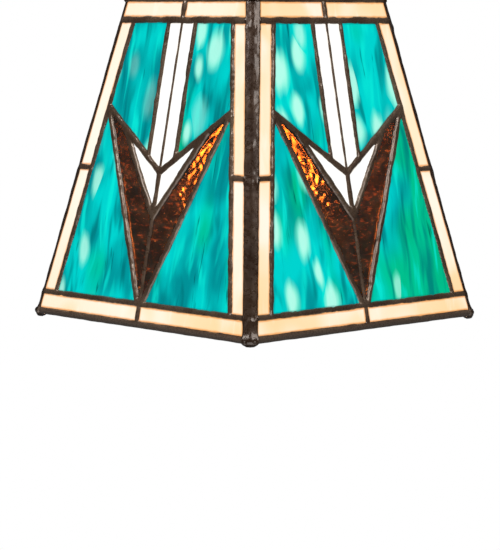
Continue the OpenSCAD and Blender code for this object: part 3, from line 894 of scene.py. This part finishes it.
def amber_material():
    """Dark rippled glass that the bulb shows through, with a few streaks and sparks of its light
    caught in the ripples further off."""
    s = Shader("amber_glass")
    pane, edge, inner = glass_attributes(s)
    cloud = s.noise(s.scaled(pane, (0.08, 0.12, 2.9)), 1.0, 2.0, 0.4)
    streak = s.noise(s.scaled(pane, (0.17, 0.56, 1.7)), 1.0, 2.0, 0.5)
    spark = s.noise(s.scaled(pane, (0.80, 0.95, 4.1)), 1.0, 0.5, 0.2)
    near = bulb_light(s, 0.1)
    caught = s.math("MULTIPLY", near, s.range(cloud, 0.34, 0.60, 0.25, 1.0))
    tint = s.mix(s.range(cloud, 0.38, 0.66), rgb(54, 21, 4), rgb(80, 36, 8))
    ember = s.mix(s.range(cloud, 0.40, 0.68), rgb(30, 24, 20), rgb(46, 36, 30))
    ember = s.mix(s.math("MULTIPLY", s.range(streak, 0.56, 0.76, 0.0, 0.85), caught), ember,
                  rgb(160, 66, 26))
    ember = s.mix(s.math("MULTIPLY", s.range(spark, 0.74, 0.80), caught), ember,
                  rgb(226, 116, 46))
    s.set(base=tint, roughness=0.21, transmission=1.0, ior=1.5, emission=ember,
          emission_strength=s.range(inner, 0.2, 0.8, 1.0, 0.0))
    soft = s.noise(s.scaled(pane, (0.22, 0.45, 2.0)), 1.0, 1.0)
    s.set(normal=s.bump(soft, 0.25, 0.0006))
    return s.material


def solder_material():
    """Tin solder under a dark patina: grey-brown on the seams, darker on the corner beads and paler
    at the bottom rim."""
    s = Shader("solder")
    at = s.place()
    x, y, z = s.add("SeparateXYZ", {0: at}).outputs
    cloud = s.noise(at, 60.0, 3.0, 0.3)
    fine = s.noise(at, 420.0, 2.0)
    tone = s.range(cloud, 0.36, 0.66)
    off_corner = s.math("ABSOLUTE", s.math("SUBTRACT", s.math("ABSOLUTE", x),
                                           s.math("ABSOLUTE", y)))
    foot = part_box("bottom_rim")[0].z
    body = s.mix(tone, rgb(84, 65, 51), rgb(106, 88, 73))
    body = s.mix(s.range(z, foot + 0.0045, foot + 0.0025), body, rgb(104, 90, 80))
    body = s.mix(s.range(off_corner, 0.0085, 0.0065), body,
                 s.mix(tone, rgb(50, 32, 20), rgb(62, 43, 29)))
    s.set(base=body, metallic=0.3, coat=0.5, coat_roughness=0.07,
          roughness=s.range(fine, 0.3, 0.7, 0.22, 0.40),
          normal=s.bump(s.math("ADD", cloud, s.math("MULTIPLY", fine, 0.15)), 0.5, 0.00006))
    return s.material


def metal_material(name, dark, light, roughness, metallic=0.9, scale=60.0, relief=0.0004,
                   coat=0.0):
    """A worn metal: two tones in clouds, with uneven gloss and a fine relief."""
    s = Shader(name)
    at = s.place()
    cloud = s.noise(at, scale, 3.0, 0.3)
    fine = s.noise(at, scale * 7, 2.0)
    body = s.mix(s.range(cloud, 0.36, 0.66), dark, light)
    body = s.mix(s.range(fine, 0.58, 0.75, 0.0, 0.25), body, light)
    s.set(base=body, metallic=metallic, coat=coat, coat_roughness=0.15,
          roughness=s.range(fine, 0.3, 0.7, roughness - 0.06, roughness + 0.10),
          normal=s.bump(s.math("ADD", cloud, s.math("MULTIPLY", fine, 0.15)), 0.5, relief))
    return s.material


def plain_material(name, dark, light, roughness, scale=200.0, relief=0.0002, **sockets):
    """Moulded, pressed or fired material: one colour in two close tones with a fine grain."""
    s = Shader(name)
    grain = s.noise(s.place(), scale, 4.0)
    s.set(base=s.mix(s.range(grain, 0.35, 0.65), dark, light),
          roughness=s.range(grain, 0.3, 0.7, roughness - 0.06, roughness + 0.08),
          normal=s.bump(grain, 0.3, relief), **sockets)
    return s.material


def bulb_material():
    """A lit frosted bulb, brightest at its lowest point. Seen directly it stays within the range of
    the picture; the light it gives, and its look through the amber glass, are far stronger."""
    s = Shader("bulb_glass")
    grain = s.noise(s.place(), 320.0, 2.0)
    hot = s.range(bulb_gap(s), 0.062, 0.028, 0.6, 1.0)
    height = s.add("SeparateXYZ", {0: s.place()}).outputs[2]
    glow = s.mix(s.range(height, bulb_low.z + 0.002, bulb_low.z + 0.040), rgb(255, 250, 238),
                 rgb(255, 222, 160))
    glow = s.mix(s.range(height, bulb_low.z + 0.040, bulb_low.z + 0.080), glow,
                 rgb(236, 178, 108))
    strength = s.add("Mix", {0: s.add("LightPath").outputs["Is Camera Ray"],
                             2: s.math("MULTIPLY", hot, BULB_STRENGTH), 3: BULB_SEEN})
    s.set(base=rgb(170, 160, 142), roughness=s.range(grain, 0.3, 0.7, 0.30, 0.42),
          emission=glow, emission_strength=strength.outputs[0],
          normal=s.bump(grain, 0.2, 0.0001))
    return s.material


BULB_STRENGTH, BULB_SEEN = 120.0, 0.92
MATERIALS = {
    "cream_glass": cream_material(),
    "white_glass": white_material(),
    "teal_glass": teal_material(),
    "amber_glass": amber_material(),
    "solder": solder_material(),
    "bronze": metal_material("bronze", rgb(72, 56, 45), rgb(96, 76, 60), 0.34, 0.5, 42.0, 0.0002,
                             0.2),
    "aged_brass": metal_material("aged_brass", rgb(84, 64, 40), rgb(140, 110, 66), 0.34),
    "socket_brass": metal_material("socket_brass", rgb(176, 138, 74), rgb(214, 178, 104), 0.28),
    "plated_steel": metal_material("plated_steel", rgb(150, 150, 148), rgb(200, 200, 198), 0.3),
    "bulb_metal": metal_material("bulb_metal", rgb(186, 184, 178), rgb(222, 220, 214), 0.27),
    "foot_solder": metal_material("foot_solder", rgb(150, 149, 146), rgb(200, 198, 194), 0.35),
    "filament_wire": metal_material("filament_wire", rgb(90, 88, 86), rgb(130, 128, 124), 0.4),
    "liner_fibre": plain_material("liner_fibre", rgb(126, 108, 82), rgb(164, 144, 114), 0.8),
    "moulded_black": plain_material("moulded_black", rgb(30, 24, 21), rgb(46, 38, 33), 0.35),
    "black_glass": plain_material("black_glass", rgb(12, 12, 16), rgb(24, 24, 30), 0.15),
    "stem_glass": plain_material("stem_glass", rgb(210, 222, 222), rgb(232, 240, 240), 0.12,
                                 transmission=0.8),
    "bulb_glass": bulb_material(),
}


# ---------------------------------------------------------------- build

for side in sides:
    for group, kind in GLASS_SLOTS.items():
        add_glass(side, group, MATERIALS[kind])
    add_seams(side, MATERIALS["solder"])
    add_corner(side.number, MATERIALS["solder"])
add_rims(MATERIALS["solder"])

for node in ("top_lock_nut", "inner_lock_nut"):
    add_nut(node, MATERIALS["aged_brass"])
add_nipple(MATERIALS["aged_brass"])
add_cap(MATERIALS["bronze"])
add_bulb_base(MATERIALS["bulb_metal"])
slots = {row["node"]: row["material_slot"] for row in frame["record"]["subparts"]}
for name, node in frame["nodes"].items():
    node.data.materials.clear()
    node.data.materials.append(MATERIALS[slots[name]])
for name, (body, bevel) in ROUNDED.items():
    refined(name, MATERIALS[slots[name]], body, bevel)


# ---------------------------------------------------------------- stage

# Strength of the white stage and sky as seen, and as light on the object
WHITE_LEVEL, FLOOR_LIGHT, SKY_LIGHT = 1.0, 0.10, 0.06
FLOOR_DROP, FLOOR_REACH = 3.0, 14.0
LIGHT_DISTANCE = 1.4
WARM, SOFT_WARM = (1.0, 0.95, 0.89), (1.0, 0.96, 0.92)
# The camera's angles in degrees, its distance, and its target beside and over the corner's foot
AZIMUTH, ELEVATION, ROLL = 46.11, 6.40, 0.215
CAMERA_DISTANCE, TARGET_RIGHT, TARGET_UP = 1.550, -0.00296, 0.0266


def white_stage_material():
    """Seen directly it is plain white; for the light it gives the object it is softer."""
    material = bpy.data.materials.new("stage_white")
    material.use_nodes = True
    tree = material.node_tree
    tree.nodes.clear()
    path = tree.nodes.new("ShaderNodeLightPath")
    bright = tree.nodes.new("ShaderNodeEmission")
    soft = tree.nodes.new("ShaderNodeEmission")
    mixer = tree.nodes.new("ShaderNodeMixShader")
    end = tree.nodes.new("ShaderNodeOutputMaterial")
    bright.inputs["Strength"].default_value = WHITE_LEVEL
    soft.inputs["Strength"].default_value = FLOOR_LIGHT
    tree.links.new(path.outputs["Is Camera Ray"], mixer.inputs[0])
    tree.links.new(soft.outputs[0], mixer.inputs[1])
    tree.links.new(bright.outputs[0], mixer.inputs[2])
    tree.links.new(mixer.outputs[0], end.inputs["Surface"])
    return material


def add_floor():
    mesh = bpy.data.meshes.new("floor")
    z = cad_box[0].z - FLOOR_DROP
    corners = [(x * FLOOR_REACH, y * FLOOR_REACH, z)
               for x, y in ((-1, -1), (1, -1), (1, 1), (-1, 1))]
    mesh.from_pydata(corners, [], [[0, 1, 2, 3]])
    mesh.materials.append(white_stage_material())
    floor = bpy.data.objects.new("floor", mesh)
    bpy.context.scene.collection.objects.link(floor)


def add_world():
    world = bpy.data.worlds.new("studio")
    world.use_nodes = True
    tree = world.node_tree
    path = tree.nodes.new("ShaderNodeLightPath")
    level = tree.nodes.new("ShaderNodeMapRange")
    level.inputs["To Min"].default_value = SKY_LIGHT
    level.inputs["To Max"].default_value = WHITE_LEVEL
    tree.links.new(path.outputs["Is Camera Ray"], level.inputs["Value"])
    background = tree.nodes["Background"]
    background.inputs["Color"].default_value = (1, 1, 1, 1)
    tree.links.new(level.outputs["Result"], background.inputs["Strength"])
    bpy.context.scene.world = world


def add_light(name, direction, size, watts, tint):
    """A soft square panel of light, aimed at the middle of the shade."""
    light = bpy.data.lights.new(name, "AREA")
    light.shape, light.size, light.energy, light.color = "SQUARE", size, watts, tint
    lamp = bpy.data.objects.new(name, light)
    lamp.visible_camera = False
    aim = Vector((0, 0, (cad_box[0].z + cad_box[1].z) / 2))
    away = Vector(direction).normalized()
    lamp.location = aim + away * LIGHT_DISTANCE
    lamp.rotation_euler = away.to_track_quat("Z", "Y").to_euler()
    bpy.context.scene.collection.objects.link(lamp)


def add_camera():
    """A long lens level with the lower shade, looking at the corner between front and right."""
    azimuth, elevation, roll = (math.radians(a) for a in (AZIMUTH, ELEVATION, ROLL))
    foot_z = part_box("corner_bead_front_right")[0].z
    right = Vector((math.cos(azimuth), math.sin(azimuth), 0))
    back = Vector((math.sin(azimuth) * math.cos(elevation),
                   -math.cos(azimuth) * math.cos(elevation), math.sin(elevation)))
    up = back.cross(right)
    target = right * TARGET_RIGHT + Vector((0, 0, foot_z + TARGET_UP))
    turned_right = right * math.cos(roll) + up * math.sin(roll)
    turned_up = up * math.cos(roll) - right * math.sin(roll)
    camera = bpy.data.objects.new("camera", bpy.data.cameras.new("camera"))
    camera.data.sensor_width = 36
    camera.data.lens = 153.75
    camera.data.clip_end = 50
    rows = Matrix((turned_right, turned_up, back)).transposed().to_4x4()
    camera.matrix_world = Matrix.Translation(target + back * CAMERA_DISTANCE) @ rows
    bpy.context.scene.collection.objects.link(camera)
    bpy.context.scene.camera = camera


add_floor()
add_world()
add_light("key_light", (0.1, -1.0, 1.1), 0.7, 12, WARM)
add_light("side_light", (1.3, -0.3, 1.2), 0.7, 9, WARM)
add_light("low_light", (0.6, -0.7, -0.6), 0.9, 6, SOFT_WARM)
add_light("back_light", (-0.9, 1.0, 0.9), 0.9, 7, SOFT_WARM)
add_camera()
bpy.context.scene.view_settings.view_transform = "Standard"
